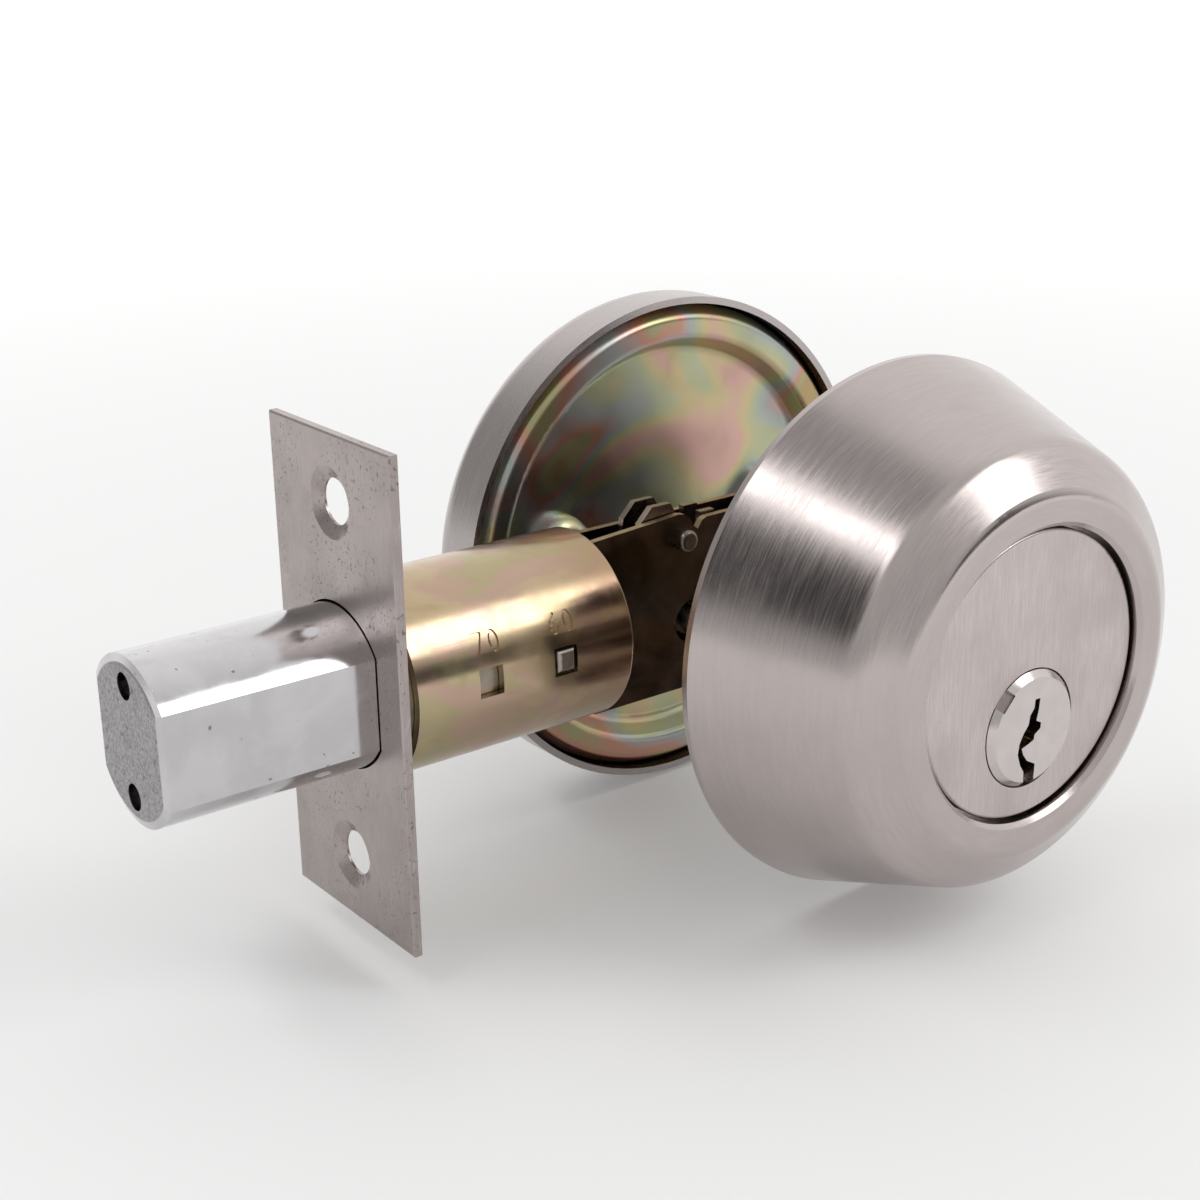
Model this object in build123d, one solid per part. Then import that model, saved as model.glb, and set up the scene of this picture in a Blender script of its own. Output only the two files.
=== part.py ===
from build123d import *
import math
import os

# Single-cylinder deadbolt, in millimetres.
# Origin: where the bolt's axis meets the centre line of the door's cross bore.
# -X is the way the bolt leaves the door's edge, -Y is outdoors, +Y is indoors and +Z is up.
# The bolt is shown thrown.

# Door preparation
BACKSET = 60.0                      # door edge to the centre of the cross bore
DOOR_OUTSIDE_Y = -24.5              # outdoor face of a 40 mm door
DOOR_INSIDE_Y = 15.5                # indoor face
EDGE_X = -BACKSET

# Faceplate
FACE_THICK = 1.1
FACE_WIDTH = 25.0
FACE_HEIGHT = 57.0
FACE_SCREW_Z = 20.75                # screw holes above and below the bolt
FACE_HOLE_R = 2.6
COUNTERSINK_R = 4.05
COUNTERSINK_DEPTH = 0.8
FACE_EDGE_BREAK = 0.2
FACE_RECESS_R = 11.5                # shallow recess in the back, round the sleeve
FACE_RECESS_DEPTH = 0.5

# Bolt
THROW = 25.0
BOLT_R = 9.4                        # round top and bottom
BOLT_HALF_WIDTH = 7.8               # flat cheeks
BOLT_BEVEL = (0.4, 1.1)             # round the tip: its depth along X and its width across the face
BOLT_TIP_X = EDGE_X - THROW
BOLT_REAR_X = EDGE_X + 4.5
BOLT_CLEARANCE = 0.2
TIP_PIN_Z = 6.2
TIP_HOLE_R = 1.5
TIP_HOLE_DEPTH = 16.0
TONGUE_HALF = 1.1
TONGUE_END_X = BOLT_REAR_X + 8.5
TONGUE_HALF_HEIGHT = 4.0

# Latch sleeve and backset tube
SLEEVE_INNER_R = 9.6
SLEEVE_OUTER_R = 10.2
SLEEVE_START_X = EDGE_X + FACE_THICK - FACE_RECESS_DEPTH
SLEEVE_END_X = -31.0
TUBE_R = 11.3
TUBE_INNER_R = 10.3
TUBE_START_X = EDGE_X + 3.0
TUBE_END_X = EDGE_X + 32.0
WINDOW_60_X = EDGE_X + 22.4
WINDOW_SPACING = 10.0               # the step between the two backsets
WINDOW_70_X = WINDOW_60_X - WINDOW_SPACING
WINDOW_LENGTH = 3.1
WINDOW_HEIGHT = 3.3
WINDOW_Z = 0.6
TAB_MARGIN = 0.35
TUBE_EDGE_R = 0.3

# Setting numbers engraved above the windows
NUMBER_TILT = 26                    # degrees up the tube's outdoor side
DIGIT_HEIGHT = 2.5
DIGIT_WIDTH = 1.4
DIGIT_STROKE = 0.36
DIGIT_PITCH = 1.95
DIGIT_DEPTH = 0.2

# Latch case
PLATE_INNER = 2.3                   # inner face of each plate from the mid-plane
PLATE_OUTER = 3.2
CASE_BOTTOM = -11.2
CASE_TOP_NEAR = 10.1
CASE_TOP_FAR = 9.7
CASE_END_X = 17.8
CASE_CORNER = 3.0
FLANGE_X = (-29.4, -28.2)
FLANGE_R = 10.2
STUD_POS = (-14.6, 8.2)
STUD_R = 1.35
STUD_LENGTH = 2.1
RIVET_R = 1.5
RIVET_SHOULDER_R = 2.0
RIVETS = [(-8.5, -8.6), (13.5, -8.0)]

# Turning line: plug, tailpiece, hub and thumbturn share one axis below the bolt's axis
AXIS_Z = -6.2
CRANK_R = THROW / math.sqrt(2)      # 90 degrees about the vertical gives the throw
CRANK_PIN_R = 1.4
CRANK_HALF_THICK = 0.9
CRANK_HALF_WIDTH = 2.6
HUB_R = 4.6
HUB_HALF = 2.15
JOURNAL_R = 3.8
JOURNAL_HALF = 3.5
RUNNING_FIT = 0.05
BLADE = (6.0, 2.2)                  # tailpiece section
BLADE_SLOT = (6.3, 2.5)

# Drive link
LINK_INNER = 1.15
LINK_OUTER = 2.05
LINK_BOTTOM = -0.4
LINK_TOP = 4.0
LINK_START_X = BOLT_REAR_X + 0.2
LINK_SLOT_HALF = 2.05
LINK_SLOT_FLOOR = 3.4
EAR_TOP = 12.4
REAR_EAR_TOP = 10.4
REAR_EAR_WIDTH = 2.2
WEB_X = (-46.0, -33.0)
WEB_Z = (2.9, LINK_TOP)

# Mounting screws
SCREW_X = 12.5
SCREW_Z = -2.8
SCREW_R = 1.95
SCREW_HEAD_R = 3.6
SCREW_TIP_Y = -25.0
POST_R = 3.4
POST_END_Y = -16.0
CASE_SCREW_HOLE_R = 2.8

# Exterior collar and cylinder
COLLAR_BASE_R = 31.8
COLLAR_SHOULDER = (25.5, -43.9)     # radius and Y of the corner between cone and lip
COLLAR_SHOULDER_FILLET = 4.2
COLLAR_LIP_Y = -47.0
COLLAR_LIP_R = 20.6
COLLAR_LIP_FILLET = 2.4
RECESS_R = 17.0
LEDGE_Y = (-43.6, -42.0)
LEDGE_HOLE_R = 15.6
HEAD_R = 16.6
HEAD_FACE_Y = -46.0
BARREL_R = 9.0
BARREL_END_Y = -25.0
TOWER_HALF_WIDTH = 4.6
TOWER_TOP = 12.0
PLUG_R = 6.35
PLUG_FLANGE_R = 6.8
PLUG_FLANGE_GAP = 0.18
PLUG_FLANGE_CHAMFER = 0.7
PLUG_FACE_Y = -46.7
PLUG_FLANGE_END_Y = -44.8
PLUG_END_Y = -24.85
PLUG_NOTCH_R = 5.8                  # small notch in the rim of the plug's face, up and to the left
PLUG_NOTCH_ANGLE = 136
PIN_R = 1.3
PIN_CHAMBER_R = 1.35
PIN_FIRST_Y = -42.0
PIN_PITCH = 3.5
KEY_PIN_TIPS = [2.1, 0.9, 2.5, 1.3, 1.7]    # height of each tip above the plug's axis
KEY_PIN_TOP = 6.2
DRIVER_BOTTOM = 6.45
DRIVER_TOP = 10.4
CHAMBER_TOP = 17.4
CAP_R = 7.6
CAP_END_Y = -22.4
TAIL_HEAD_R = 4.3

# Interior rose, back plate and thumbturn
ROSE_R = 32.5
ROSE_WALL = 0.9
ROSE_FACE_Y = 25.0
PLATE_EDGE_R = 31.3
PLATE_SHEET = 1.2
PLATE_FLOOR_Y = 18.5
BOSS_R = 4.1
BOSS_END = (17.3, 2.6)              # each oval boss slants up and out to here from its screw
SHAFT_R = 6.0
BUSH_THROAT_R = 7.2
BUSH_SHOULDER_R = 9.5
CLIP_Y = (17.35, 18.05)
KNOB_START_Y = 25.7
KNOB_COLLAR_END_Y = 28.6
KNOB_COLLAR_R = 8.6
KNOB_TOP_Y = 43.0


def block(x, y, z):
    """A box from three (low, high) pairs."""
    size = Box(x[1] - x[0], y[1] - y[0], z[1] - z[0])
    return Pos((x[0] + x[1]) / 2, (y[0] + y[1]) / 2, (z[0] + z[1]) / 2) * size


def rod_x(radius, x0, x1, y=0.0, z=0.0):
    return Pos((x0 + x1) / 2, y, z) * Rot(0, 90, 0) * Cylinder(radius, x1 - x0)


def rod_y(radius, y0, y1, x=0.0, z=0.0):
    return Pos(x, (y0 + y1) / 2, z) * Rot(90, 0, 0) * Cylinder(radius, y1 - y0)


def rod_z(radius, z0, z1, x=0.0, y=0.0):
    return Pos(x, y, (z0 + z1) / 2) * Cylinder(radius, z1 - z0)


def sheet_xz(points, y0, y1):
    """A flat piece with an outline of (x, z) points, from y0 to y1."""
    face = make_face(Plane.XZ.offset(-y1) * Polyline(*points, close=True))
    return extrude(face, amount=y1 - y0, dir=(0, -1, 0))


def turned(points, x=0.0, z=0.0):
    """A ring or disc turned about a Y axis, from (radius, y) points."""
    face = make_face(Polyline(*points, close=True))
    return Pos(x, 0, z) * revolve(face, Axis.Y)


def bolt_profile(grow):
    """The bolt's cross-section: a circle cut by two flat cheeks, on the YZ plane."""
    section = Circle(BOLT_R + grow) & Rectangle(2 * (BOLT_HALF_WIDTH + grow), 4 * BOLT_R)
    return Plane.YZ * section


def make_faceplate():
    plate = block((EDGE_X, EDGE_X + FACE_THICK), (-FACE_WIDTH / 2, FACE_WIDTH / 2),
                  (-FACE_HEIGHT / 2, FACE_HEIGHT / 2))
    plate = chamfer(plate.faces().sort_by(Axis.X)[0].edges(), FACE_EDGE_BREAK)
    plate -= Pos(EDGE_X - 1, 0, 0) * extrude(bolt_profile(BOLT_CLEARANCE), amount=FACE_THICK + 2)
    plate -= rod_x(FACE_RECESS_R, SLEEVE_START_X, EDGE_X + FACE_THICK + 1)
    for z in (-FACE_SCREW_Z, FACE_SCREW_Z):
        plate -= rod_x(FACE_HOLE_R, EDGE_X - 1, EDGE_X + FACE_THICK + 1, 0, z)
        cone = Cone(COUNTERSINK_R, FACE_HOLE_R, COUNTERSINK_DEPTH)
        plate -= Pos(EDGE_X + COUNTERSINK_DEPTH / 2, 0, z) * Rot(0, 90, 0) * cone
    return plate


def make_bolt():
    length = BOLT_REAR_X - BOLT_TIP_X
    body = Pos(BOLT_TIP_X, 0, 0) * extrude(bolt_profile(0), amount=length)
    tip = body.faces().sort_by(Axis.X)[0]
    body = chamfer(tip.edges(), BOLT_BEVEL[1], BOLT_BEVEL[0], reference=tip)
    tongue = block((BOLT_REAR_X, TONGUE_END_X), (-TONGUE_HALF, TONGUE_HALF),
                   (-TONGUE_HALF_HEIGHT, TONGUE_HALF_HEIGHT))
    body += tongue
    for z in (-TIP_PIN_Z, TIP_PIN_Z):
        body -= rod_x(TIP_HOLE_R, BOLT_TIP_X - 1, BOLT_TIP_X + TIP_HOLE_DEPTH, 0, z)
    body -= rod_y(RIVET_R, -TONGUE_HALF - 1, TONGUE_HALF + 1, rivet_x(), 0)
    return body


def rivet_x():
    return TONGUE_END_X - 4.2


def make_bolt_pins():
    """Two hardened rods set deep in the bolt's tip, against sawing."""
    rods = []
    for z in (-TIP_PIN_Z, TIP_PIN_Z):
        rod = rod_x(TIP_HOLE_R - RUNNING_FIT, BOLT_TIP_X + 2.5, BOLT_TIP_X + TIP_HOLE_DEPTH, 0, z)
        rods.append(rod)
    return Compound(children=rods)


def make_link():
    """A folded steel channel from the bolt's tongue to the crank pin."""
    pin_x = -CRANK_R / math.sqrt(2)
    slot_front = pin_x - LINK_SLOT_HALF
    slot_rear = pin_x + LINK_SLOT_HALF
    outline = [
        (LINK_START_X, -LINK_TOP), (TONGUE_END_X + 2, -LINK_TOP), (TONGUE_END_X + 5, LINK_BOTTOM),
        (slot_rear + REAR_EAR_WIDTH, LINK_BOTTOM), (slot_rear + REAR_EAR_WIDTH, REAR_EAR_TOP),
        (slot_rear, REAR_EAR_TOP), (slot_rear, LINK_SLOT_FLOOR), (slot_front, LINK_SLOT_FLOOR),
        (slot_front, EAR_TOP - 0.9), (slot_front - 0.6, EAR_TOP), (slot_front - 3.4, EAR_TOP),
        (slot_front - 5.2, EAR_TOP - 1.8), (slot_front - 6.4, LINK_TOP), (LINK_START_X, LINK_TOP),
    ]
    link = sheet_xz(outline, -LINK_OUTER, -LINK_INNER) + sheet_xz(outline, LINK_INNER, LINK_OUTER)
    link += block(WEB_X, (-LINK_INNER - 0.1, LINK_INNER + 0.1), WEB_Z)
    link -= rod_y(RIVET_R, -LINK_OUTER - 1, LINK_OUTER + 1, rivet_x(), 0)
    return link


def make_link_rivet():
    return rod_y(RIVET_R, -LINK_OUTER, LINK_OUTER, rivet_x(), 0)


def make_sleeve():
    """The inner tube that carries the bolt, with the sprung tab that picks the backset."""
    sleeve = rod_x(SLEEVE_OUTER_R, SLEEVE_START_X, SLEEVE_END_X)
    tab = block((WINDOW_60_X - WINDOW_LENGTH / 2 + TAB_MARGIN, WINDOW_60_X + WINDOW_LENGTH / 2 - TAB_MARGIN),
                (-TUBE_R - 0.1, 0),
                (WINDOW_Z - WINDOW_HEIGHT / 2 + TAB_MARGIN, WINDOW_Z + WINDOW_HEIGHT / 2 - TAB_MARGIN))
    tab = fillet(tab.faces().sort_by(Axis.Y)[0].edges(), 0.5)
    sleeve += tab
    sleeve -= rod_x(SLEEVE_INNER_R, EDGE_X, SLEEVE_END_X + 1)
    return sleeve


def make_tube():
    tube = rod_x(TUBE_R, TUBE_START_X, TUBE_END_X)
    tube = fillet(tube.faces().sort_by(Axis.X)[-1].edges(), TUBE_EDGE_R)
    tube -= rod_x(TUBE_INNER_R, TUBE_START_X - 1, TUBE_END_X + 1)
    for x in (WINDOW_60_X, WINDOW_70_X):
        tube -= block((x - WINDOW_LENGTH / 2, x + WINDOW_LENGTH / 2), (-TUBE_R - 1, -TUBE_R / 2),
                      (WINDOW_Z - WINDOW_HEIGHT / 2, WINDOW_Z + WINDOW_HEIGHT / 2))
    return tube - engraving("60", WINDOW_60_X) - engraving("70", WINDOW_70_X)


def engraving(number, x):
    """Two digits cut to an even depth in the tube, read from outdoors."""
    tilt = math.radians(NUMBER_TILT)
    plane = Plane(origin=(x, 0, 0), x_dir=(1, 0, 0), z_dir=(0, -math.cos(tilt), math.sin(tilt)))
    outline = Sketch()
    for place, digit in zip((-0.5, 0.5), number):
        outline += Pos(place * DIGIT_PITCH, 0) * DIGITS[digit]()
    cutter = extrude(plane.offset(TUBE_INNER_R) * outline, amount=TUBE_R)
    return cutter - rod_x(TUBE_R - DIGIT_DEPTH, x - DIGIT_PITCH * 2, x + DIGIT_PITCH * 2)


def stroke(points):
    """A round-ended line of the digits' stroke width through the points."""
    line = Sketch()
    for (x0, y0), (x1, y1) in zip(points, points[1:]):
        slot = SlotOverall(math.hypot(x1 - x0, y1 - y0) + DIGIT_STROKE, DIGIT_STROKE)
        turn = math.degrees(math.atan2(y1 - y0, x1 - x0))
        line += Pos((x0 + x1) / 2, (y0 + y1) / 2) * Rot(0, 0, turn) * slot
    return line


def zero():
    half_width, half_height = DIGIT_WIDTH / 2, DIGIT_HEIGHT / 2
    return Ellipse(half_width, half_height) - Ellipse(half_width - DIGIT_STROKE, half_height - DIGIT_STROKE)


def six():
    loop_r = DIGIT_WIDTH / 2
    loop_y = loop_r - DIGIT_HEIGHT / 2
    loop = Pos(0, loop_y) * (Circle(loop_r) - Circle(loop_r - DIGIT_STROKE))
    left = DIGIT_STROKE / 2 - loop_r
    top = (DIGIT_HEIGHT - DIGIT_STROKE) / 2
    return loop + stroke([(left, loop_y), (left * 0.75, top * 0.45), (-left * 0.5, top)])


def seven():
    right = (DIGIT_WIDTH - DIGIT_STROKE) / 2
    top = (DIGIT_HEIGHT - DIGIT_STROKE) / 2
    return stroke([(-right, top), (right, top), (-right * 0.4, -top)])


DIGITS = {"0": zero, "6": six, "7": seven}


def case_outline(top_edge):
    """The outline that both case plates share, closed by each plate's own top edge."""
    front_x = FLANGE_X[1]
    return [
        (front_x, CASE_BOTTOM), (CASE_END_X - CASE_CORNER, CASE_BOTTOM),
        (CASE_END_X, CASE_BOTTOM + CASE_CORNER), (CASE_END_X, top_edge[0][1] - CASE_CORNER),
    ] + top_edge


def make_case_plate(side, top_edge):
    """side is -1 for the outdoor plate and +1 for the indoor one."""
    y0, y1 = sorted((side * PLATE_INNER, side * PLATE_OUTER))
    plate = sheet_xz(case_outline(top_edge), y0, y1)
    plate -= rod_x(TUBE_R + 1, FLANGE_X[0] - 1, TUBE_END_X + 0.2) - rod_x(FLANGE_R, -40, TUBE_END_X + 1)
    flange = rod_x(FLANGE_R, *FLANGE_X)
    keep = block(FLANGE_X, sorted((side * PLATE_INNER, side * (FLANGE_R + 1))), (-20, 20))
    plate += flange & keep
    plate -= rod_y(JOURNAL_R + RUNNING_FIT, -5, 5, 0, AXIS_Z)
    for x in (-SCREW_X, SCREW_X):
        plate -= rod_y(CASE_SCREW_HOLE_R, -5, 5, x, SCREW_Z)
    for x, z in RIVETS:
        plate -= rod_y(RIVET_R, -5, 5, x, z)
    return plate


def make_near_plate():
    """Its top edge has a rounded hook over the stud and a V notch behind it."""
    stud_x, stud_z = STUD_POS
    top_edge = [
        (CASE_END_X - CASE_CORNER, CASE_TOP_NEAR), (stud_x + 4.2, CASE_TOP_NEAR),
        (stud_x + 3.5, CASE_TOP_NEAR - 0.3), (stud_x + 2.8, stud_z + 0.6), (stud_x + 2.2, stud_z + 1.1),
        (stud_x + 1.6, stud_z + 2.2), (stud_x + 0.8, stud_z + 2.8), (stud_x - 0.2, stud_z + 3.0),
        (stud_x - 2.2, stud_z + 2.8), (FLANGE_X[1], CASE_TOP_NEAR + 0.2),
    ]
    plate = make_case_plate(-1, top_edge)
    return plate - rod_y(STUD_R, -5, 0, *STUD_POS)


def make_far_plate():
    top_edge = [(CASE_END_X - CASE_CORNER, CASE_TOP_FAR), (FLANGE_X[1], CASE_TOP_FAR)]
    return make_case_plate(1, top_edge)


def make_case_rivets():
    rivets = []
    for x, z in RIVETS:
        rivet = rod_y(RIVET_R, -PLATE_OUTER, PLATE_OUTER, x, z)
        rivet += rod_y(RIVET_SHOULDER_R, -PLATE_INNER, PLATE_INNER, x, z)
        rivets.append(rivet)
    return Compound(children=rivets)


def make_case_stud():
    stud = rod_y(STUD_R, -PLATE_OUTER - STUD_LENGTH, -PLATE_INNER, *STUD_POS)
    return fillet(stud.faces().sort_by(Axis.Y)[0].edges(), 0.6)


def blade_slot(y0, y1, size):
    """A tailpiece section, lying flat along X while the bolt is thrown."""
    return block((-size[0] / 2, size[0] / 2), (y0, y1), (AXIS_Z - size[1] / 2, AXIS_Z + size[1] / 2))


def make_hub():
    """Hub and crank arm in one piece, turning in the two case plates."""
    hub = rod_y(HUB_R, -HUB_HALF, HUB_HALF, 0, AXIS_Z)
    hub += rod_y(JOURNAL_R, -JOURNAL_HALF, JOURNAL_HALF, 0, AXIS_Z)
    arm = block((-CRANK_HALF_WIDTH, CRANK_HALF_WIDTH), (-CRANK_HALF_THICK, CRANK_HALF_THICK), (0, CRANK_R))
    arm += rod_y(CRANK_HALF_WIDTH, -CRANK_HALF_THICK, CRANK_HALF_THICK, 0, CRANK_R)
    hub += Pos(0, 0, AXIS_Z) * Rot(0, -45, 0) * arm
    hub -= blade_slot(-5, 5, BLADE_SLOT)
    hub -= crank_pin_rod()
    return hub


def crank_pin_rod():
    offset = CRANK_R / math.sqrt(2)
    return rod_y(CRANK_PIN_R, -LINK_OUTER, LINK_OUTER, -offset, AXIS_Z + offset)


def make_collar():
    """Tapered guard with a rounded shoulder and a recess for the cylinder's face."""
    outline = [
        (COLLAR_BASE_R - 2.4, DOOR_OUTSIDE_Y), (COLLAR_BASE_R, DOOR_OUTSIDE_Y),
        (COLLAR_BASE_R, DOOR_OUTSIDE_Y - 0.8), COLLAR_SHOULDER, (COLLAR_LIP_R, COLLAR_LIP_Y),
        (RECESS_R + 0.5, COLLAR_LIP_Y), (RECESS_R, COLLAR_LIP_Y + 0.5), (RECESS_R, LEDGE_Y[0]),
        (LEDGE_HOLE_R, LEDGE_Y[0]), (LEDGE_HOLE_R, LEDGE_Y[1]), (23.0, LEDGE_Y[1]),
    ]
    face = make_face(Polyline(*outline, close=True))
    shoulder = face.vertices().sort_by_distance(COLLAR_SHOULDER)[0]
    face = fillet(shoulder, COLLAR_SHOULDER_FILLET)
    lip = face.vertices().sort_by_distance((COLLAR_LIP_R, COLLAR_LIP_Y))[0]
    face = fillet(lip, COLLAR_LIP_FILLET)
    collar = revolve(face, Axis.Y)
    for x in (-SCREW_X, SCREW_X):
        collar -= rod_y(POST_R + 0.3, LEDGE_Y[0] - 0.01, LEDGE_Y[1] + 1, x, SCREW_Z)
    return collar


def pin_rows():
    return [PIN_FIRST_Y + PIN_PITCH * i for i in range(len(KEY_PIN_TIPS))]


def make_housing():
    """Cylinder body: face disc, plug barrel, pin tower and two threaded screw posts."""
    disc = rod_y(HEAD_R, HEAD_FACE_Y, LEDGE_Y[0])
    disc = fillet(disc.faces().sort_by(Axis.Y)[0].edges(), 0.4)
    body = disc + rod_y(BARREL_R, LEDGE_Y[0], BARREL_END_Y, 0, AXIS_Z)
    body += block((-TOWER_HALF_WIDTH, TOWER_HALF_WIDTH), (LEDGE_Y[0], BARREL_END_Y), (AXIS_Z, TOWER_TOP))
    for side in (-1, 1):
        body += rod_y(POST_R, LEDGE_Y[0], POST_END_Y, side * SCREW_X, SCREW_Z)
        web = sorted((side * SCREW_X, side * 4.0))
        body += block(web, (LEDGE_Y[0], BARREL_END_Y), (SCREW_Z - 1.6, SCREW_Z + 1.6))
    body -= rod_y(PLUG_R + RUNNING_FIT, HEAD_FACE_Y - 1, BARREL_END_Y + 1, 0, AXIS_Z)
    body -= rod_y(PLUG_FLANGE_R + PLUG_FLANGE_GAP, HEAD_FACE_Y - 1, PLUG_FLANGE_END_Y + 0.1, 0, AXIS_Z)
    for side in (-1, 1):
        body -= rod_y(SCREW_R, SCREW_TIP_Y - 4, POST_END_Y + 1, side * SCREW_X, SCREW_Z)
    for y in pin_rows():
        body -= rod_z(PIN_CHAMBER_R, AXIS_Z + PLUG_R - 1, AXIS_Z + CHAMBER_TOP + 0.01, 0, y)
    return body - cover_block()


def cover_block():
    rows = pin_rows()
    return block((-2.0, 2.0), (rows[0] - 1.6, rows[-1] + 1.6), (AXIS_Z + CHAMBER_TOP, TOWER_TOP))


def keyway_outline():
    """Warded zig-zag slot, as (x, height above the plug's axis), open at the plug's bottom."""
    left = [(0.0, 3.6), (-0.1, 2.6), (-0.7, 1.9), (-0.9, 0.8), (-1.6, 0.0), (-2.2, -1.1),
            (-2.4, -2.4), (-1.9, -3.8), (-1.3, -4.7), (-1.2, -7.2)]
    right = [(0.4, -7.2), (0.5, -4.2), (-0.8, -3.5), (-1.5, -2.6), (-1.8, -1.8), (-0.7, -1.5),
             (0.1, -1.2), (0.2, -0.6), (1.1, -0.1), (1.15, 0.6), (0.35, 1.0), (0.65, 2.2), (0.8, 3.6)]
    return [(x, AXIS_Z + height) for x, height in left + right]


def make_plug():
    plug = rod_y(PLUG_R, PLUG_FACE_Y + PLUG_FLANGE_CHAMFER, PLUG_END_Y, 0, AXIS_Z)
    flange = rod_y(PLUG_FLANGE_R, PLUG_FACE_Y, PLUG_FLANGE_END_Y, 0, AXIS_Z)
    plug += chamfer(flange.faces().sort_by(Axis.Y)[0].edges(), PLUG_FLANGE_CHAMFER)
    notch = block((PLUG_NOTCH_R, PLUG_FLANGE_R + 1), (PLUG_FACE_Y - 1, PLUG_FACE_Y + 0.9), (-1.2, 1.2))
    plug -= Pos(0, 0, AXIS_Z) * Rot(0, -PLUG_NOTCH_ANGLE, 0) * notch
    plug -= sheet_xz(keyway_outline(), PLUG_FACE_Y - 1, PLUG_END_Y + 1)
    for y in pin_rows():
        plug -= rod_z(PIN_CHAMBER_R, AXIS_Z + 0.7, AXIS_Z + PLUG_R + 1, 0, y)
    return plug - cap_pin_rod(RUNNING_FIT)


def make_key_pins():
    """Bottom pins with their tops at the shear line, as the right key would hold them."""
    pins = []
    for y, tip in zip(pin_rows(), KEY_PIN_TIPS):
        pin = rod_z(PIN_R, AXIS_Z + tip, AXIS_Z + KEY_PIN_TOP, 0, y)
        pins.append(chamfer(pin.faces().sort_by(Axis.Z)[0].edges(), 0.6))
    return Compound(children=pins)


def make_driver_pins():
    pins = []
    for y in pin_rows():
        pin = rod_z(PIN_R, AXIS_Z + DRIVER_BOTTOM, AXIS_Z + DRIVER_TOP, 0, y)
        pins.append(chamfer(pin.faces().sort_by(Axis.Z)[-1].edges(), 0.3))
    return Compound(children=pins)


def make_pin_springs():
    wire_r = 0.2
    mean_r = 0.95
    bottom = AXIS_Z + DRIVER_TOP + wire_r + 0.05
    height = CHAMBER_TOP - DRIVER_TOP - 2 * wire_r - 0.1
    path = Helix(pitch=height / 6, height=height, radius=mean_r)
    section = Plane(origin=path @ 0, z_dir=path % 0) * Circle(wire_r)
    coil = sweep(section, path=path)
    return Compound(children=[Pos(0, y, bottom) * coil for y in pin_rows()])


def cap_pin_rod(grow):
    return rod_y(0.6 + grow, PLUG_END_Y - 1.5, CAP_END_Y - 0.3, 0, AXIS_Z + 5.5)


def make_plug_cap():
    """Screwed on the plug's rear end, it holds the plug in and the tailpiece's head."""
    cap = rod_y(CAP_R, PLUG_END_Y, CAP_END_Y, 0, AXIS_Z)
    cap = chamfer(cap.faces().sort_by(Axis.Y)[-1].edges(), 0.4)
    cap -= rod_y(TAIL_HEAD_R + 0.15, PLUG_END_Y - 1, CAP_END_Y - 0.9, 0, AXIS_Z)
    cap -= rod_y(3.45, PLUG_END_Y, CAP_END_Y + 1, 0, AXIS_Z)
    return cap - cap_pin_rod(RUNNING_FIT)


def make_tailpiece():
    head = rod_y(TAIL_HEAD_R, PLUG_END_Y + 0.15, CAP_END_Y - 1.05, 0, AXIS_Z)
    return head + blade_slot(CAP_END_Y - 1.2, ROSE_FACE_Y - 2.5, BLADE)


def make_back_plate():
    """Pressed steel pan: a flat floor inside a raised bead, with two oval screw bosses."""
    inner = PLATE_FLOOR_Y
    crest = DOOR_INSIDE_Y
    outline = [
        (0, inner), (25.6, inner), (27.2, crest), (30.0, crest), (PLATE_EDGE_R, crest + 2.0),
        (PLATE_EDGE_R, inner + 1.2), (30.1, inner + 1.2), (30.1, crest + 2.3), (29.4, crest + PLATE_SHEET),
        (27.9, crest + PLATE_SHEET), (26.3, inner + PLATE_SHEET), (0, inner + PLATE_SHEET),
    ]
    face = make_face(Polyline(*outline, close=True))
    for corner in ((27.2, crest), (30.0, crest)):
        face = fillet(face.vertices().sort_by_distance(corner)[0], 1.1)
    face = fillet(face.vertices().sort_by_distance((25.6, inner))[0], 1.4)
    plate = revolve(face, Axis.Y)
    for side in (-1, 1):
        plate += screw_boss(side)
        plate -= rod_y(2.3, crest - 2, inner + 3, side * SCREW_X, SCREW_Z)
        plate -= Pos(0, PLATE_SHEET, 0) * boss_block(side, BOSS_R - 1.6, crest + PLATE_SHEET)
    return plate - rod_y(7.0, crest - 2, inner + 3, 0, AXIS_Z)


def screw_boss(side):
    """A domed oval pressed towards the door, from the screw hole up and outwards."""
    return fillet(boss_block(side, BOSS_R, DOOR_INSIDE_Y).faces().sort_by(Axis.Y)[0].edges(), 2.2)


def boss_block(side, radius, start_y):
    """The oval's block of that end radius, from start_y into the plate's floor."""
    rise, run = BOSS_END[1] - SCREW_Z, BOSS_END[0] - SCREW_X
    centre = Pos(side * (BOSS_END[0] + SCREW_X) / 2, (BOSS_END[1] + SCREW_Z) / 2)
    turn = Rot(0, 0, side * math.degrees(math.atan2(rise, run)))
    outline = centre * turn * SlotOverall(math.hypot(rise, run) + 2 * radius, 2 * radius)
    depth = PLATE_FLOOR_Y + 0.5 - start_y
    return extrude(Plane.XZ.offset(-PLATE_FLOOR_Y - 0.5) * outline, amount=depth)


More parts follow.
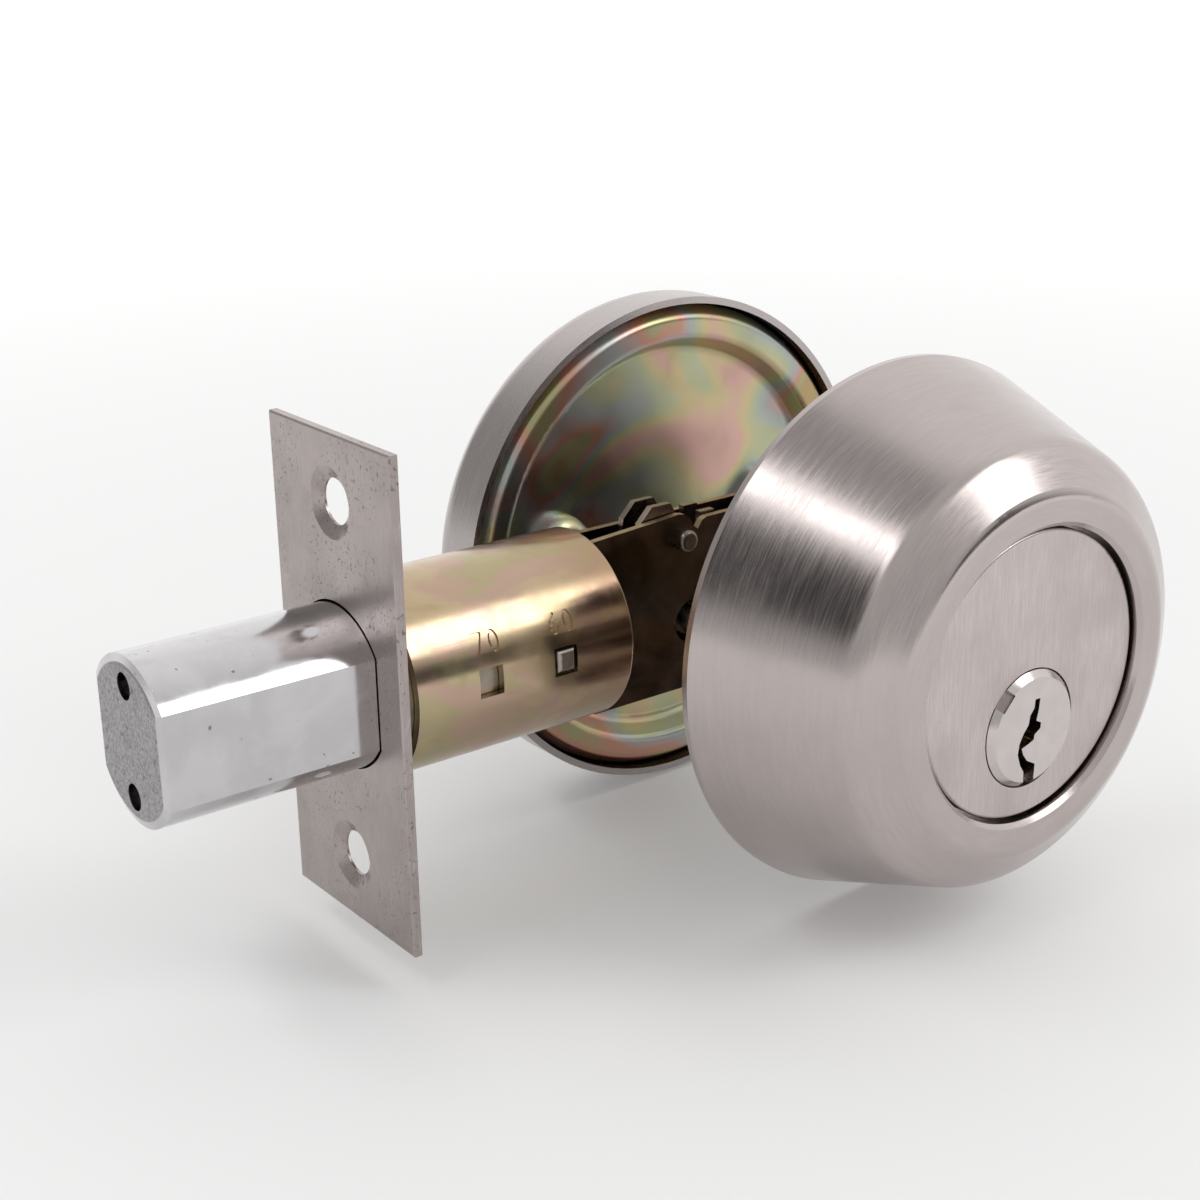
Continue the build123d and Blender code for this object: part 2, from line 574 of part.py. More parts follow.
def make_rose():
    """Shallow stamped cover over the back plate."""
    inner_r = ROSE_R - ROSE_WALL
    inner_y = ROSE_FACE_Y - ROSE_WALL
    outline = [
        (inner_r, DOOR_INSIDE_Y), (ROSE_R, DOOR_INSIDE_Y), (ROSE_R, ROSE_FACE_Y), (0, ROSE_FACE_Y),
        (0, inner_y), (inner_r, inner_y),
    ]
    face = make_face(Polyline(*outline, close=True))
    face = fillet(face.vertices().sort_by_distance((ROSE_R, ROSE_FACE_Y))[0], 4.0)
    face = fillet(face.vertices().sort_by_distance((inner_r, inner_y))[0], 3.1)
    rose = revolve(face, Axis.Y)
    rose -= rod_y(BUSH_THROAT_R, inner_y - 1, ROSE_FACE_Y + 1, 0, AXIS_Z)
    for x in (-SCREW_X, SCREW_X):
        rose -= rod_y(2.3, inner_y - 1, ROSE_FACE_Y + 1, x, SCREW_Z)
    return rose


def make_bushing():
    """Nylon bearing and spacer between the back plate and the rose."""
    bore = SHAFT_R + RUNNING_FIT
    inner_y = ROSE_FACE_Y - ROSE_WALL
    plate_back = PLATE_FLOOR_Y + PLATE_SHEET
    return turned([
        (bore, PLATE_FLOOR_Y), (6.9, PLATE_FLOOR_Y), (6.9, plate_back), (BUSH_SHOULDER_R, plate_back),
        (BUSH_SHOULDER_R, inner_y), (BUSH_THROAT_R, inner_y), (BUSH_THROAT_R, ROSE_FACE_Y + 0.3),
        (bore, ROSE_FACE_Y + 0.3),
    ], 0, AXIS_Z)


def make_thumbturn():
    """Grip, round collar and slotted shaft, lying level while the bolt is thrown."""
    grip = loft([
        Plane.XZ.offset(-KNOB_COLLAR_END_Y) * SlotOverall(31.0, 9.6),
        Plane.XZ.offset(-KNOB_COLLAR_END_Y - 6) * SlotOverall(29.0, 7.0),
        Plane.XZ.offset(-KNOB_TOP_Y) * SlotOverall(27.0, 6.2),
    ])
    grip = fillet(grip.faces().sort_by(Axis.Y)[-1].edges(), 1.6)
    knob = Pos(0, 0, AXIS_Z) * grip
    knob_collar = rod_y(KNOB_COLLAR_R, KNOB_START_Y, KNOB_COLLAR_END_Y + 0.5, 0, AXIS_Z)
    knob += chamfer(knob_collar.faces().sort_by(Axis.Y)[-1].edges(), 0.8)
    knob += rod_y(SHAFT_R, DOOR_INSIDE_Y - 1.5, KNOB_START_Y + 0.5, 0, AXIS_Z)
    groove = rod_y(SHAFT_R + 1, CLIP_Y[0] - 0.05, CLIP_Y[1] + 0.05, 0, AXIS_Z)
    groove -= rod_y(SHAFT_R - 1, CLIP_Y[0] - 1, CLIP_Y[1] + 1, 0, AXIS_Z)
    knob -= groove
    return knob - blade_slot(DOOR_INSIDE_Y - 3, ROSE_FACE_Y - 1.5, BLADE_SLOT)


def make_clip():
    """Open retaining ring in the shaft's groove."""
    clip = rod_y(SHAFT_R + 1.8, CLIP_Y[0], CLIP_Y[1], 0, AXIS_Z)
    clip -= rod_y(SHAFT_R - 0.95, CLIP_Y[0] - 1, CLIP_Y[1] + 1, 0, AXIS_Z)
    return clip - block((-2.0, 2.0), (CLIP_Y[0] - 1, CLIP_Y[1] + 1), (AXIS_Z - 10, AXIS_Z))


def make_mounting_screws():
    screws = []
    for x in (-SCREW_X, SCREW_X):
        screw = rod_y(SCREW_R, SCREW_TIP_Y, ROSE_FACE_Y, x, SCREW_Z)
        head = rod_y(SCREW_HEAD_R, ROSE_FACE_Y, ROSE_FACE_Y + 2.2, x, SCREW_Z)
        screw += fillet(head.faces().sort_by(Axis.Y)[-1].edges(), 1.3)
        for turn in (0, 90):
            slot = Rot(0, turn, 0) * Box(4.2, 1.6, 0.8)
            screw -= Pos(x, ROSE_FACE_Y + 2.0, SCREW_Z) * slot
        screws.append(screw)
    return Compound(children=screws)


PARTS = {
    "faceplate": make_faceplate,
    "latch_sleeve": make_sleeve,
    "backset_tube": make_tube,
    "bolt": make_bolt,
    "bolt_hardened_pins": make_bolt_pins,
    "bolt_link": make_link,
    "link_rivet": make_link_rivet,
    "case_plate_exterior": make_near_plate,
    "case_plate_interior": make_far_plate,
    "case_rivets": make_case_rivets,
    "case_stud": make_case_stud,
    "hub_crank": make_hub,
    "crank_pin": crank_pin_rod,
    "exterior_collar": make_collar,
    "cylinder_housing": make_housing,
    "cylinder_plug": make_plug,
    "key_pins": make_key_pins,
    "driver_pins": make_driver_pins,
    "pin_springs": make_pin_springs,
    "tower_cover": cover_block,
    "plug_cap": make_plug_cap,
    "cap_lock_pin": lambda: cap_pin_rod(0),
    "tailpiece": make_tailpiece,
    "back_plate": make_back_plate,
    "interior_rose": make_rose,
    "spindle_bushing": make_bushing,
    "thumbturn": make_thumbturn,
    "spindle_clip": make_clip,
    "mounting_screws": make_mounting_screws,
}

os.makedirs("parts", exist_ok=True)
for node, make in PARTS.items():
    export_step(make(), f"parts/{node}.step")
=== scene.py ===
import math

import bpy
from mathutils import Matrix, Vector


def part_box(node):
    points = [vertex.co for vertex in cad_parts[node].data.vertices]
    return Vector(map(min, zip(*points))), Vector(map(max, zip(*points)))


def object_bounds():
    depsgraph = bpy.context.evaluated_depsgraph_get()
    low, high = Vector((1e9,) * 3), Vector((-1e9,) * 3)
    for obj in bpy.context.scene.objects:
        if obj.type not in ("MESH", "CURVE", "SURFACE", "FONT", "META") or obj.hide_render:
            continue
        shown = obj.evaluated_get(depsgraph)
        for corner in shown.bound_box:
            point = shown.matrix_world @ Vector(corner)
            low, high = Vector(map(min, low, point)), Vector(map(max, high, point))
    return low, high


# A single-cylinder deadbolt. Distances below are in millimetres, turned to metres by MM.
# The frame's origin is where the bolt's axis meets the cross bore: -X is out of the door's edge,
# -Y is outdoors, +Y is indoors and +Z is up.
MM = 0.001

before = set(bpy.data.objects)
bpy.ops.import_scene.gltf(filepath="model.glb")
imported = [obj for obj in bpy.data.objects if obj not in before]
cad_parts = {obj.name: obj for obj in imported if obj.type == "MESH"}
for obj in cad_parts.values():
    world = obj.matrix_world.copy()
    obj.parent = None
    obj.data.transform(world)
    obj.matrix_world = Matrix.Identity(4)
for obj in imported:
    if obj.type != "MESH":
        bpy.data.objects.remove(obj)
CAD_LOW, CAD_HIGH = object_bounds()

PLUG_AXIS_Z = -6.2
PLUG_PLATING_END = (-45.6, -44.6)   # Y where the plug's nickel gives way to bare brass
BEAD_SLOPE = (25.5, 28.5)           # radii across the side of the back plate's bead

# Camera: where it looks, from how far and from which side
CAMERA_TARGET = Vector((-18.0, 8.4, -2.1)) * MM
CAMERA_DISTANCE = 250 * MM
CAMERA_AZIMUTH = math.radians(36.93)
CAMERA_ELEVATION = math.radians(19.67)
CAMERA_ROLL = math.radians(-0.91)
CAMERA_LENS = 60

# Floor
FLOOR_GAP = 0.6 * MM
FLOOR_SIZE = 12.0
FLOOR_GLOW = (0.14, 0.42)        # painted light of its own, weaker under the lock, which leaves painted shade there, and stronger far from it
FLOOR_GLOW_REACH = (0.05, 0.7)   # metres from the middle over which that changes

# Studio walls
WALL_TONE = 0.55
CEILING_TONE = 0.68
BACKDROP_TONE = 1.0
# Each panel: its direction, the cosines where it starts and is full, and its tone
PANELS = [
    ((0.85, 0.35, 0.40), 0.30, 0.85, 1.05),
    ((0.45, 0.88, 0.15), 0.75, 0.96, 1.15),
    ((-0.52, 0.84, 0.15), 0.80, 0.95, 0.42),
    ((0.50, -0.86, 0.00), 0.93, 0.985, 0.10),
    ((-0.87, 0.13, 0.47), 0.93, 0.985, 0.06),
    ((-0.18, 0.17, 0.97), 0.93, 0.99, 0.42),
]


def add_node(tree, kind, inputs=None, **settings):
    """A node of that kind. inputs maps a socket's name or number to a value or another node's output."""
    made = tree.nodes.new(kind)
    for key, value in settings.items():
        setattr(made, key, value)
    for key, value in (inputs or {}).items():
        if isinstance(value, bpy.types.NodeSocket):
            tree.links.new(value, made.inputs[key])
        else:
            made.inputs[key].default_value = value
    return made


def shade(color, share):
    """The colour, darker or lighter by that share."""
    return tuple(c * share for c in color)


class Finish:
    """A Principled material, with short calls for the nodes that vary it over the surface."""

    def __init__(self, name, color, roughness, metallic=1.0, **sockets):
        self.material = bpy.data.materials.new(name)
        self.material.use_nodes = True
        self.tree = self.material.node_tree
        self.shader = self.tree.nodes["Principled BSDF"]
        self.set("Base Color", (*color, 1.0))
        self.set("Roughness", roughness)
        self.set("Metallic", metallic)
        for socket, value in sockets.items():
            self.set(socket.replace("_", " "), value)
        self.material.diffuse_color = (*color, 1.0)

    def set(self, socket, value):
        self.shader.inputs[socket].default_value = value

    def drive(self, socket, output):
        self.tree.links.new(output, self.shader.inputs[socket])

    def node(self, kind, inputs=None, **settings):
        return add_node(self.tree, kind, inputs, **settings)

    def place(self):
        """Position in the row frame, in metres."""
        return self.node("ShaderNodeTexCoord").outputs["Object"]

    def facing(self):
        return self.node("ShaderNodeTexCoord").outputs["Normal"]

    def parts_of(self, vector):
        return self.node("ShaderNodeSeparateXYZ", {0: vector}).outputs

    def calc(self, operation, first, second=0.0):
        return self.node("ShaderNodeMath", {0: first, 1: second}, operation=operation).outputs[0]

    def length(self, first, second):
        squares = self.calc("MULTIPLY", first, first), self.calc("MULTIPLY", second, second)
        return self.calc("SQRT", self.calc("ADD", *squares))

    def stretched(self, vector, x, y, z):
        """Position in cells of x, y and z millimetres."""
        cells = (1 / (x * MM), 1 / (y * MM), 1 / (z * MM))
        return self.node("ShaderNodeVectorMath", {0: vector, 1: cells}, operation="MULTIPLY").outputs[0]

    def cells(self, vector, size):
        return self.stretched(vector, size, size, size)

    def noise(self, vector, detail=3.0, roughness=0.55, distortion=0.0):
        return self.node("ShaderNodeTexNoise", {"Vector": vector, "Scale": 1.0, "Detail": detail,
                                                "Roughness": roughness, "Distortion": distortion}).outputs[0]

    def rings(self, grain, arc, centre_z=0.0):
        """Fine grain that runs round the Y axis: short across it, about arc cells long per radian."""
        x, y, z = self.parts_of(self.place())
        z = self.calc("SUBTRACT", z, centre_z * MM)
        radius = self.length(x, z)
        across = self.calc("MULTIPLY", self.calc("DIVIDE", x, radius), arc)
        up = self.calc("MULTIPLY", self.calc("DIVIDE", z, radius), arc)
        along = self.calc("DIVIDE", y, grain * MM)
        vector = self.node("ShaderNodeCombineXYZ", {0: along, 1: across, 2: up}).outputs[0]
        depth = self.calc("DIVIDE", radius, grain * MM)
        return self.node("ShaderNodeTexNoise", {"Vector": vector, "W": depth, "Scale": 1.0, "Detail": 4.0,
                                                "Roughness": 0.6}, noise_dimensions="4D").outputs[0]

    def step(self, value, low, high, start=0.0, end=1.0):
        """A smooth change from start to end as value goes from low to high."""
        return self.node("ShaderNodeMapRange", {"Value": value, "From Min": low, "From Max": high,
                                                "To Min": start, "To Max": end},
                         interpolation_type="SMOOTHSTEP").outputs[0]

    def ramp(self, value, stops):
        ramp = self.node("ShaderNodeValToRGB", {0: value})
        ramp.color_ramp.interpolation = "EASE"
        elements = ramp.color_ramp.elements
        while len(elements) < len(stops):
            elements.new(0.5)
        for element, (position, color) in zip(elements, stops):
            element.position = position
            element.color = (*color, 1.0)
        return ramp.outputs[0]

    def mix(self, share, first, second):
        made = self.node("ShaderNodeMix", data_type="RGBA")
        for key, value in ((0, share), (6, first), (7, second)):
            if isinstance(value, bpy.types.NodeSocket):
                self.tree.links.new(value, made.inputs[key])
            else:
                made.inputs[key].default_value = value if key == 0 else (*value, 1.0)
        return made.outputs[2]

    def bump(self, height, depth, strength=1.0, under=None):
        """Relief of that depth in millimetres, over any relief passed as under."""
        inputs = {"Height": height, "Distance": depth * MM, "Strength": strength}
        if under is not None:
            inputs["Normal"] = under
        return self.node("ShaderNodeBump", inputs).outputs[0]

    def around_axis(self, share):
        """Stretched reflections, as grain that runs round the Y axis gives."""
        self.set("Anisotropic", share)
        tangent = self.node("ShaderNodeTangent", direction_type="RADIAL", axis="Y")
        self.drive("Tangent", tangent.outputs[0])

    def scratches(self, length, width, turn):
        """Sparse thin lines that lie turn radians from X, as 1 on a scratch and 0 off it."""
        turned = self.node("ShaderNodeVectorRotate", {"Vector": self.place(), "Angle": turn},
                           rotation_type="Y_AXIS").outputs[0]
        lines = self.noise(self.stretched(turned, length, width, width), detail=1.0)
        patches = self.noise(self.cells(turned, length * 0.6), detail=1.0)
        return self.calc("MULTIPLY", self.step(lines, 0.66, 0.72), self.step(patches, 0.5, 0.62))


def brushed_round(name, color, roughness, grain=0.16, stretch=0.55):
    """Satin metal, brushed round the Y axis."""
    f = Finish(name, color, roughness)
    fine = f.rings(grain, 7.0)
    coarse = f.rings(grain * 4, 3.0)
    cloudy = f.noise(f.cells(f.place(), 9.0), detail=4.0)
    tone = f.ramp(f.calc("ADD", f.calc("MULTIPLY", fine, 0.7), f.calc("MULTIPLY", coarse, 0.3)),
                  [(0.3, shade(color, 0.93)), (0.7, shade(color, 1.04))])
    f.drive("Base Color", f.mix(f.step(cloudy, 0.45, 0.75, 0.0, 0.6), tone, shade(color, 0.92)))
    sheen = f.step(fine, 0.3, 0.75, roughness - 0.04, roughness + 0.05)
    f.drive("Roughness", f.calc("ADD", sheen, f.step(cloudy, 0.4, 0.8, 0.0, 0.06)))
    f.drive("Normal", f.bump(fine, 0.006, 0.25, under=f.bump(coarse, 0.012, 0.12)))
    f.around_axis(stretch)
    return f


def satin_plate(name, color, roughness, pit_level):
    """Satin nickel: an up-and-down grain, a few light scratches, and pits, fewer at a higher level."""
    f = Finish(name, color, roughness)
    grain = f.noise(f.stretched(f.place(), 0.12, 0.12, 3.5), detail=3.0)
    cloudy = f.noise(f.cells(f.place(), 8.0), detail=4.0)
    worn = f.step(f.noise(f.cells(f.place(), 7.0), detail=1.0), 0.42, 0.58)
    marks = f.noise(f.stretched(f.place(), 0.5, 0.4, 0.6), detail=3.0, roughness=0.65)
    pits = f.calc("MULTIPLY", f.step(marks, pit_level - 0.04, pit_level + 0.02), worn)
    scratch = f.scratches(6.0, 0.07, 1.25)
    tone = f.ramp(grain, [(0.3, shade(color, 0.9)), (0.72, shade(color, 1.06))])
    tone = f.mix(f.step(cloudy, 0.42, 0.7, 0.0, 0.45), tone, shade(color, 0.82))
    tone = f.mix(f.calc("MULTIPLY", pits, 0.75), tone, shade(color, 0.35))
    f.drive("Base Color", f.mix(f.calc("MULTIPLY", scratch, 0.35), tone, (0.85, 0.83, 0.82)))
    f.drive("Roughness", f.step(cloudy, 0.35, 0.75, roughness - 0.04, roughness + 0.1))
    relief = f.bump(grain, 0.01, 0.4)
    f.drive("Normal", f.bump(f.calc("SUBTRACT", 1.0, pits), 0.03, 0.7, under=relief))
    return f


def bright_bolt(tip_x):
    """Polished nickel cheeks with handling marks, and a grainy cast face at the tip."""
    color = (0.57, 0.56, 0.57)
    f = Finish("bright_nickel_bolt", color, 0.14)
    x = f.parts_of(f.place())[0]
    tip = f.step(x, (tip_x + 0.02) * MM, (tip_x + 0.12) * MM, 1.0, 0.0)
    grain = f.noise(f.stretched(f.place(), 5.0, 0.14, 0.14), detail=3.0)
    cloudy = f.noise(f.cells(f.place(), 5.0), detail=4.0, distortion=0.4)
    cast = f.noise(f.cells(f.place(), 0.32), detail=4.0, roughness=0.7)
    pocks = f.step(f.noise(f.cells(f.place(), 0.8), detail=2.0), 0.62, 0.7)
    dings = f.step(f.noise(f.cells(f.place(), 1.1), detail=1.0), 0.73, 0.77)
    scratch = f.scratches(4.0, 0.06, 0.35)
    cheek = f.ramp(cloudy, [(0.35, (0.54, 0.53, 0.54)), (0.65, (0.60, 0.59, 0.60))])
    cheek = f.mix(f.calc("MULTIPLY", dings, 0.7), cheek, (0.16, 0.13, 0.12))
    cheek = f.mix(f.calc("MULTIPLY", scratch, 0.3), cheek, (0.85, 0.85, 0.85))
    face = f.ramp(cast, [(0.3, (0.24, 0.23, 0.235)), (0.7, (0.48, 0.46, 0.47))])
    face = f.mix(f.calc("MULTIPLY", pocks, 0.6), face, (0.12, 0.11, 0.11))
    f.drive("Base Color", f.mix(tip, cheek, face))
    polish = f.step(cloudy, 0.35, 0.7, 0.10, 0.18)
    f.drive("Roughness", f.calc("ADD", polish, f.calc("MULTIPLY", tip, 0.32)))
    smooth = f.bump(grain, 0.006, 0.35, under=f.bump(f.calc("SUBTRACT", 1.0, dings), 0.03, 0.5))
    f.drive("Normal", f.bump(f.calc("MULTIPLY", cast, tip), 0.09, 0.9, under=smooth))
    return f


# Thin-film colours of a yellow chromate coat, from thin to thick
CHROMATE_STOPS = [
    (0.30, (0.44, 0.30, 0.11)), (0.36, (0.38, 0.37, 0.16)), (0.42, (0.58, 0.27, 0.18)),
    (0.46, (0.48, 0.36, 0.34)), (0.52, (0.38, 0.43, 0.41)), (0.58, (0.46, 0.49, 0.28)),
    (0.63, (0.60, 0.49, 0.24)), (0.69, (0.66, 0.38, 0.32)),
]


def chromate_plate():
    """Yellow chromate on the pressed back plate: broad drifting rainbow patches over bright steel."""
    f = Finish("yellow_chromate_plate", (0.50, 0.43, 0.30), 0.3)
    x, _, z = f.parts_of(f.place())
    radius = f.length(x, z)
    drift = f.noise(f.cells(f.place(), 19.0), detail=0.6, distortion=0.9)
    small = f.noise(f.cells(f.place(), 6.0), detail=3.0)
    film = f.calc("ADD", f.calc("MULTIPLY", drift, 0.98), f.calc("MULTIPLY", small, 0.02))
    film = f.calc("ADD", film, f.step(radius, *(edge * MM for edge in BEAD_SLOPE), 0.0, -0.06))
    tint = f.ramp(film, CHROMATE_STOPS)
    tone = f.mix(0.2, tint, (0.50, 0.47, 0.43))
    grain = f.rings(0.2, 4.0)
    f.drive("Base Color", f.mix(f.step(small, 0.55, 0.8, 0.0, 0.25), tone, (0.36, 0.28, 0.20)))
    f.drive("Roughness", f.step(small, 0.35, 0.7, 0.30, 0.38))
    f.drive("Normal", f.bump(grain, 0.005, 0.2))
    return f


def chromate_tube(rear_x):
    """Yellow chromate on the backset tube: gold to tan, with a painted dark reflection that turns it browner
    towards its rear end.
    """
    f = Finish("yellow_chromate_tube", (0.46, 0.36, 0.24), 0.2)
    x = f.parts_of(f.place())[0]
    drift = f.noise(f.stretched(f.place(), 16.0, 9.0, 9.0), detail=3.0, distortion=0.8)
    small = f.noise(f.cells(f.place(), 3.0), detail=4.0)
    grain = f.noise(f.stretched(f.place(), 6.0, 0.12, 0.12), detail=3.0)
    gold = f.ramp(drift, [(0.30, (0.44, 0.34, 0.20)), (0.42, (0.50, 0.39, 0.25)), (0.50, (0.48, 0.34, 0.26)),
                          (0.57, (0.43, 0.37, 0.22)), (0.68, (0.50, 0.39, 0.23))])
    # Painted dark reflection: the colour turns browner towards the rear end, standing in for the dark
    # surroundings the tube reflects there.
    rear = f.step(f.calc("ADD", x, f.calc("MULTIPLY", small, 4.0 * MM)), (rear_x - 9) * MM, (rear_x + 2) * MM)
    tone = f.mix(f.calc("MULTIPLY", rear, 0.6), gold, (0.36, 0.22, 0.13))
    f.drive("Base Color", f.mix(f.step(small, 0.5, 0.8, 0.0, 0.25), tone, (0.42, 0.28, 0.19)))
    f.drive("Roughness", f.step(small, 0.35, 0.7, 0.17, 0.26))
    f.drive("Normal", f.bump(grain, 0.006, 0.35))
    return f


def bronze_sheet(name, flat_color, edge_color, roughness=0.34):
    """Dark bronze chromate on stamped sheet, with the bright cut edges that stamping leaves."""
    f = Finish(name, flat_color, roughness)
    turned_out = f.parts_of(f.facing())[1]
    edge = f.step(f.calc("ABSOLUTE", turned_out), 0.35, 0.8, 1.0, 0.0)
    cloudy = f.noise(f.cells(f.place(), 6.0), detail=4.0, distortion=0.5)
    fine = f.noise(f.cells(f.place(), 0.25), detail=3.0)
    height = f.parts_of(f.place())[2]
    warm = f.step(height, -11 * MM, 4 * MM, 1.0, 0.0)
    flat = f.ramp(cloudy, [(0.32, shade(flat_color, 0.7)), (0.66, shade(flat_color, 1.35))])
    flat = f.mix(f.calc("MULTIPLY", warm, 0.35), flat, (0.10, 0.055, 0.032))
    rubbed = f.calc("MULTIPLY", edge, f.step(cloudy, 0.3, 0.6, 0.55, 1.0))
    f.drive("Base Color", f.mix(rubbed, flat, edge_color))
    f.drive("Roughness", f.step(cloudy, 0.35, 0.7, roughness - 0.06, roughness + 0.1))
    f.drive("Normal", f.bump(fine, 0.012, 0.5, under=f.bump(cloudy, 0.06, 0.2)))
    return f


def plain_metal(name, color, roughness, grain=(0.3, 0.3, 0.3), wear=(0.8, 0.78, 0.75)):
    """Turned or drawn metal: fine grain, cloudy tone and slightly rubbed high spots."""
    f = Finish(name, color, roughness)
    fine = f.noise(f.stretched(f.place(), *grain), detail=3.0)
    cloudy = f.noise(f.cells(f.place(), 3.0), detail=4.0)
    tone = f.ramp(cloudy, [(0.32, shade(color, 0.8)), (0.68, shade(color, 1.15))])
    f.drive("Base Color", f.mix(f.step(fine, 0.6, 0.75, 0.0, 0.18), tone, wear))
    f.drive("Roughness", f.step(cloudy, 0.35, 0.7, max(0.08, roughness - 0.05), roughness + 0.08))
    f.drive("Normal", f.bump(fine, 0.01, 0.5))
    return f


def nickel_plug():
    """Nickel-plated brass with a fine turned face."""
    color = (0.60, 0.55, 0.535)
    f = Finish("nickel_plug", color, 0.2)
    turned = f.rings(0.10, 2.0, PLUG_AXIS_Z)
    cloudy = f.noise(f.cells(f.place(), 2.0), detail=4.0)
    tone = f.ramp(cloudy, [(0.35, (0.58, 0.53, 0.515)), (0.68, (0.62, 0.57, 0.555))])
    y = f.parts_of(f.place())[1]
    hidden = f.step(y, *(edge * MM for edge in PLUG_PLATING_END))
    f.drive("Base Color", f.mix(hidden, tone, (0.62, 0.46, 0.20)))
    f.drive("Roughness", f.step(cloudy, 0.35, 0.7, 0.15, 0.26))
    f.drive("Normal", f.bump(turned, 0.008, 0.5))
    return f


def nylon():
    f = Finish("nylon", (0.80, 0.78, 0.70), 0.45, metallic=0.0, Subsurface_Weight=0.15)
    f.set("Subsurface Radius", (0.0010, 0.0008, 0.0006))
    fine = f.noise(f.cells(f.place(), 0.25), detail=3.0)
    cloudy = f.noise(f.cells(f.place(), 4.0), detail=3.0)
    f.drive("Base Color", f.ramp(cloudy, [(0.3, (0.74, 0.72, 0.64)), (0.7, (0.83, 0.81, 0.74))]))
    f.drive("Roughness", f.step(fine, 0.3, 0.7, 0.4, 0.55))
    f.drive("Normal", f.bump(fine, 0.01, 0.5))
    return f


BOLT_TIP_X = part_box("bolt")[0].x / MM
TUBE_REAR_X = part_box("backset_tube")[1].x / MM

SATIN = (0.50, 0.447, 0.433)
BRONZE = (0.10, 0.068, 0.046)
BRONZE_EDGE = (0.52, 0.40, 0.26)
DARK_STEEL = (0.17, 0.14, 0.12)
HARD_STEEL = (0.10, 0.095, 0.09)
BRASS = (0.70, 0.50, 0.20)

case_bronze = bronze_sheet("bronze_case", BRONZE, BRONZE_EDGE)
link_bronze = bronze_sheet("bronze_link", (0.16, 0.125, 0.10), (0.42, 0.34, 0.27), 0.3)
dark_steel = plain_metal("dark_steel", DARK_STEEL, 0.3)
hard_steel = plain_metal("hardened_steel", HARD_STEEL, 0.35)
brass = plain_metal("pin_brass", BRASS, 0.25)
spring_wire = plain_metal("spring_steel", (0.5, 0.5, 0.51), 0.25)

FINISHES = {
    # The faceplate's satin nickel gets a darker colour than the collar's satin: a painted shade for the
    # darker surroundings it reflects.
    "faceplate": satin_plate("satin_nickel_face", (0.42, 0.37, 0.355), 0.3, 0.63),
    "latch_sleeve": plain_metal("sleeve_zinc", (0.34, 0.30, 0.25), 0.34),
    "backset_tube": chromate_tube(TUBE_REAR_X),
    "bolt": bright_bolt(BOLT_TIP_X),
    "bolt_hardened_pins": hard_steel,
    "bolt_link": link_bronze,
    "link_rivet": hard_steel,
    "case_plate_exterior": case_bronze,
    "case_plate_interior": case_bronze,
    "case_rivets": dark_steel,
    "case_stud": dark_steel,
    "hub_crank": link_bronze,
    "crank_pin": hard_steel,
    "exterior_collar": brushed_round("satin_collar", SATIN, 0.2),
    "cylinder_housing": satin_plate("satin_cylinder", (0.56, 0.50, 0.485), 0.3, 0.8),
    "cylinder_plug": nickel_plug(),
    "key_pins": brass,
    "driver_pins": brass,
    "pin_springs": spring_wire,
    "tower_cover": brass,
    "plug_cap": brass,
    "cap_lock_pin": hard_steel,
    "tailpiece": hard_steel,
    "back_plate": chromate_plate(),
    "interior_rose": brushed_round("stainless_rose", (0.46, 0.42, 0.41), 0.26),
    "spindle_bushing": nylon(),
    "thumbturn": satin_plate("satin_thumbturn", SATIN, 0.28, 0.78),
    "spindle_clip": hard_steel,
    "mounting_screws": plain_metal("zinc_screw", (0.52, 0.51, 0.52), 0.25),
}

for node, finish in FINISHES.items():
    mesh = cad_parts[node].data
    mesh.materials.clear()
    mesh.materials.append(finish.material)


def add_floor():
    """A pale floor just under the lock that glows with painted light of its own, weaker under the lock, which
    leaves painted shade there. It belongs to the studio.
    """
    f = Finish("studio_floor", (0.8, 0.8, 0.8), 0.7, metallic=0.0)
    f.set("Specular IOR Level", 0.1)
    f.set("Emission Color", (1.0, 1.0, 1.0, 1.0))
    x, y, _ = f.parts_of(f.place())
    # Painted light: the floor's glow is weakest under the lock, which leaves painted shade there, and grows
    # towards the far floor.
    f.drive("Emission Strength", f.step(f.length(x, y), *FLOOR_GLOW_REACH, *FLOOR_GLOW))
    mesh = bpy.data.meshes.new("floor")
    half = FLOOR_SIZE / 2
    z = CAD_LOW.z - FLOOR_GAP
    corners = [(-half, -half, z), (half, -half, z), (half, half, z), (-half, half, z)]
    mesh.from_pydata(corners, [], [(0, 1, 2, 3)])
    mesh.materials.append(f.material)
    floor = bpy.data.objects.new("floor", mesh)
    bpy.context.scene.collection.objects.link(floor)


def add_softbox(name, direction, distance, size, power):
    """A soft rectangular lamp that looks back at the lock from that direction."""
    light = bpy.data.lights.new(name, "AREA")
    light.shape = "RECTANGLE"
    light.size, light.size_y = size
    light.energy = power
    lamp = bpy.data.objects.new(name, light)
    away = Vector(direction).normalized()
    lamp.location = CAMERA_TARGET + away * distance
    lamp.rotation_mode = "QUATERNION"
    lamp.rotation_quaternion = away.to_track_quat("Z", "Y")
    bpy.context.scene.collection.objects.link(lamp)


